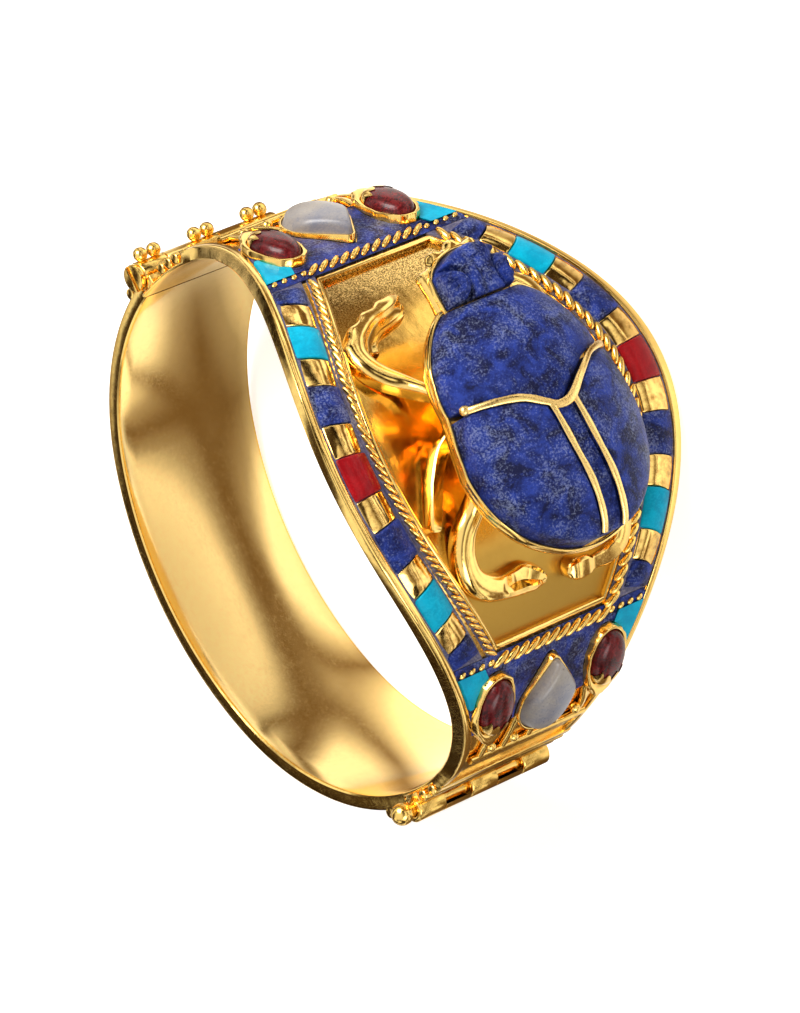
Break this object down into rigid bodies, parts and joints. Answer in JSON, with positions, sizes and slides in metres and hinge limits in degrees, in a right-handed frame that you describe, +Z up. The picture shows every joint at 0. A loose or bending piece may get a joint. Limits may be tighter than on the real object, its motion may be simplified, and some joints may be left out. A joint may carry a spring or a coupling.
{
  "type": "hinged scarab bracelet",
  "caption": "Hinged gold bracelet with a raised stone beetle on a flared panel, inlaid stone borders, rope edging and a removable clasp pin, lying on its side",
  "frame": {"origin": "centre of the bounding box's bottom face, on the floor that the bracelet lies on", "axes": "+Z up; +X towards the beetle's side of the bracelet, +Y from the clasp to the hinge; the wrist's axis leans 13.7 degrees from +Z towards -X"},
  "size_m": [0.0642, 0.0632, 0.0417],
  "materials": {
    "gold": "polished",
    "lapis": "polished",
    "turquoise": "polished",
    "red_stone": "polished",
    "milky_stone": "polished"
  },
  "bodies": {
    "front": {"far_bar_head_1": "gold", "far_bar_head_2": "gold", "far_bar_head_3": "gold", "far_bar_tail_1": "gold", "far_bar_tail_2": "gold", "far_bar_tail_3": "gold", "far_fore_leg": "gold", "far_hind_leg": "gold", "far_middle_leg": "gold", "far_rope": "gold", "far_stone_head_1": "lapis", "far_stone_head_2": "turquoise", "far_stone_head_3": "lapis", "far_stone_middle": "red_stone", "far_stone_tail_1": "lapis", "far_stone_tail_2": "turquoise", "far_stone_tail_3": "lapis", "far_wing_case": "lapis", "front_shell": "gold", "head_bud_far": "red_stone", "head_bud_near": "red_stone", "head_corner_far": "turquoise", "head_corner_near": "turquoise", "head_drop": "milky_stone", "head_ground": "lapis", "head_rope": "gold", "head_setting": "gold", "hinge_pin": "gold", "near_bar_head_1": "gold", "near_bar_head_2": "gold", "near_bar_head_3": "gold", "near_bar_tail_1": "gold", "near_bar_tail_2": "gold", "near_bar_tail_3": "gold", "near_fore_leg": "gold", "near_hind_leg": "gold", "near_middle_leg": "gold", "near_rope": "gold", "near_stone_head_1": "lapis", "near_stone_head_2": "turquoise", "near_stone_head_3": "lapis", "near_stone_middle": "red_stone", "near_stone_tail_1": "lapis", "near_stone_tail_2": "turquoise", "near_stone_tail_3": "lapis", "near_wing_case": "lapis", "scarab_chest": "lapis", "scarab_head": "lapis", "scarab_setting": "gold", "tail_bud_far": "red_stone", "tail_bud_near": "red_stone", "tail_corner_far": "turquoise", "tail_corner_near": "turquoise", "tail_drop": "milky_stone", "tail_ground": "lapis", "tail_rope": "gold", "tail_setting": "gold", "wing_strip": "lapis"},
    "back": {"back_shell": "gold"},
    "clasp_pin": {"clasp_pin": "gold"}
  },
  "joints": [
    {"name": "hinge", "type": "hinge", "parent": "front", "child": "back", "pos_m": [-0.00952, 0.02895, 0.01346], "axis": [0.237, 0, -0.9715], "range_deg": [0, 60]},
    {"name": "clasp_pin_slide", "type": "slide", "parent": "front", "child": "clasp_pin", "axis": [-0.237, 0, 0.9715], "range_m": [0, 0.022]}
  ]
}
